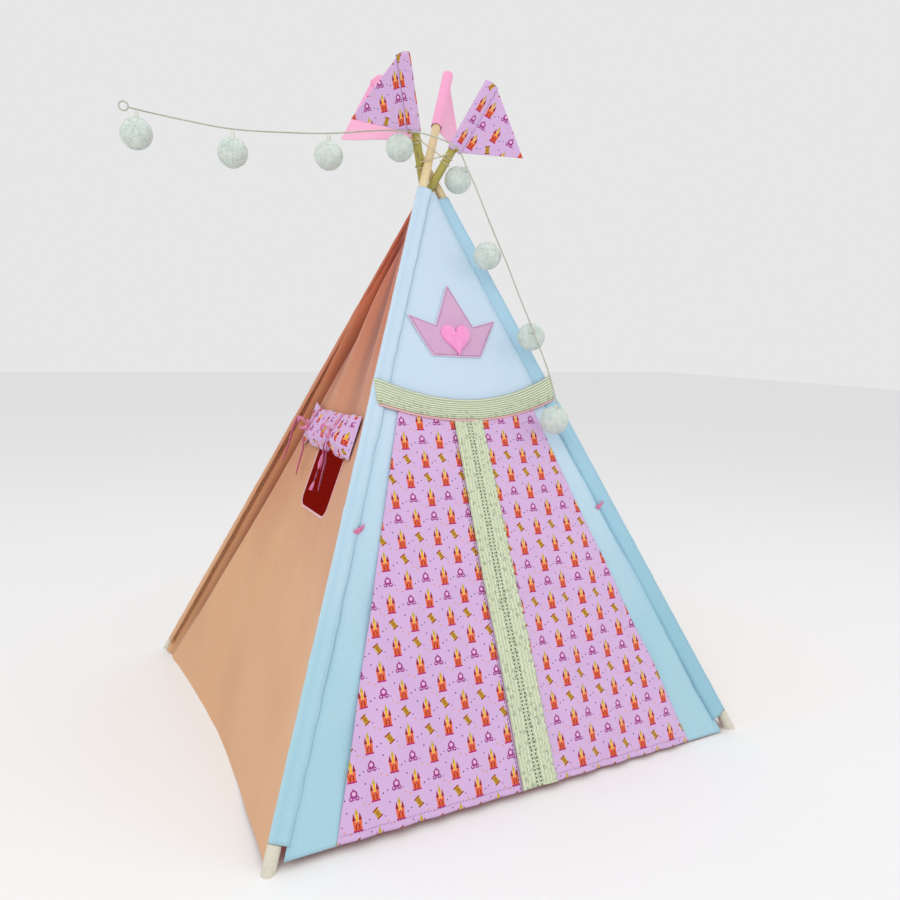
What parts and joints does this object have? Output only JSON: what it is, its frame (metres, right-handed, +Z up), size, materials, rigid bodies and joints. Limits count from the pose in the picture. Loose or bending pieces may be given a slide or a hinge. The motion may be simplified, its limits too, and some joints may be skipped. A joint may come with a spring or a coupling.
{
  "type": "play tent",
  "caption": "Child's play tent on crossed wooden poles, with a sewn cotton cover, a curtained door, a window, pennants and a garland of cotton ball lights.",
  "frame": {"origin": "on the floor, at the middle of the object's outer box", "axes": "+Z up; the door is on the -Y side and the window is on the -X side"},
  "size_m": [1.2686, 1.163, 1.5627],
  "materials": {
    "pole_wood": "satin",
    "foot_rubber": "matte",
    "print_cotton": "matte",
    "canvas_blue": "matte",
    "canvas_peach": "matte",
    "pink_cotton": "matte",
    "cotton_lace": "matte",
    "mauve_cotton": "matte",
    "pink_satin": "satin",
    "twine": "matte",
    "clear_wire": "satin",
    "socket_plastic": "satin",
    "cotton_thread": "matte"
  },
  "bodies": {
    "front_frame": {"front_left_pole": "pole_wood", "front_left_foot_cap": "foot_rubber", "front_right_pole": "pole_wood", "front_right_foot_cap": "foot_rubber", "front_left_sleeve": "canvas_blue", "front_right_sleeve": "canvas_blue", "upper_front_panel": "canvas_blue", "left_front_border": "canvas_blue", "right_front_border": "canvas_blue", "left_curtain": "print_cotton", "right_curtain": "print_cotton", "left_curtain_tie": "pink_cotton", "right_curtain_tie": "pink_cotton", "lace_band": "cotton_lace", "lace_door_top": "cotton_lace", "crown_applique": "mauve_cotton", "heart_applique": "pink_satin", "garland_wire": "clear_wire", "garland_loop": "clear_wire", "garland_sockets": "socket_plastic", "light_ball_1": "cotton_thread", "light_ball_2": "cotton_thread", "light_ball_3": "cotton_thread", "light_ball_4": "cotton_thread", "light_ball_5": "cotton_thread", "light_ball_6": "cotton_thread", "light_ball_7": "cotton_thread", "light_ball_8": "cotton_thread"},
    "side_walls": {"left_panel": "canvas_peach", "right_panel": "canvas_peach", "window_curtain": "print_cotton", "window_ribbons": "print_cotton"},
    "rear_frame": {"rear_left_pole": "pole_wood", "rear_right_pole": "pole_wood", "rear_left_foot_cap": "foot_rubber", "rear_right_foot_cap": "foot_rubber", "rear_left_sleeve": "canvas_peach", "rear_right_sleeve": "canvas_peach", "back_panel": "canvas_peach", "twine_one": "twine", "twine_two": "twine", "twine_turns": "twine"},
    "left_flap": {"left_door_flap": "print_cotton"},
    "right_flap": {"right_door_flap": "print_cotton", "lace_door_strip": "cotton_lace"},
    "front_left_flag": {"front_left_pennant": "print_cotton"},
    "front_right_flag": {"front_right_pennant": "print_cotton"},
    "rear_left_flag": {"rear_left_pennant": "print_cotton"},
    "rear_right_flag": {"rear_right_pennant": "print_cotton"}
  },
  "joints": [
    {"name": "side_wall_fold", "type": "hinge", "parent": "front_frame", "child": "side_walls", "pos_m": [0, 0, 1.29], "axis": [-1, 0, 0], "range_deg": [0, 21], "deforming": ["left_panel", "right_panel", "window_curtain", "window_ribbons"]},
    {"name": "rear_frame_fold", "type": "hinge", "parent": "side_walls", "child": "rear_frame", "pos_m": [0, 0, 1.29], "axis": [-1, 0, 0], "range_deg": [0, 21], "deforming": ["twine_one", "twine_two"]},
    {"name": "left_flap_hinge", "type": "hinge", "parent": "front_frame", "child": "left_flap", "pos_m": [-0.25443, -0.56915, 0.0144], "axis": [0.2287, 0.3777, 0.8972], "range_deg": [-150, 0]},
    {"name": "right_flap_hinge", "type": "hinge", "parent": "front_frame", "child": "right_flap", "pos_m": [0.19046, -0.55948, 0.0104], "axis": [-0.2997, 0.3559, 0.8852], "range_deg": [0, 150]},
    {"name": "front_left_flag_turn", "type": "hinge", "parent": "front_frame", "child": "front_left_flag", "pos_m": [0.05122, 0.05054, 1.45062], "axis": [0.3651, 0.3651, 0.8564], "range_deg": [-25, 25]},
    {"name": "front_right_flag_turn", "type": "hinge", "parent": "front_frame", "child": "front_right_flag", "pos_m": [-0.05122, 0.0809, 1.43768], "axis": [-0.3651, 0.3651, 0.8564], "range_deg": [-25, 0]},
    {"name": "rear_left_flag_turn", "type": "hinge", "parent": "rear_frame", "child": "rear_left_flag", "pos_m": [0.08022, -0.0809, 1.43768], "axis": [0.3651, -0.3651, 0.8564], "range_deg": [-25, 25]},
    {"name": "rear_right_flag_turn", "type": "hinge", "parent": "rear_frame", "child": "rear_right_flag", "pos_m": [-0.08022, -0.05054, 1.45062], "axis": [-0.3651, -0.3651, 0.8564], "range_deg": [-25, 25]}
  ],
  "couplings": [
    {"joint": "rear_frame_fold", "follows": "side_wall_fold", "ratio": 1}
  ]
}
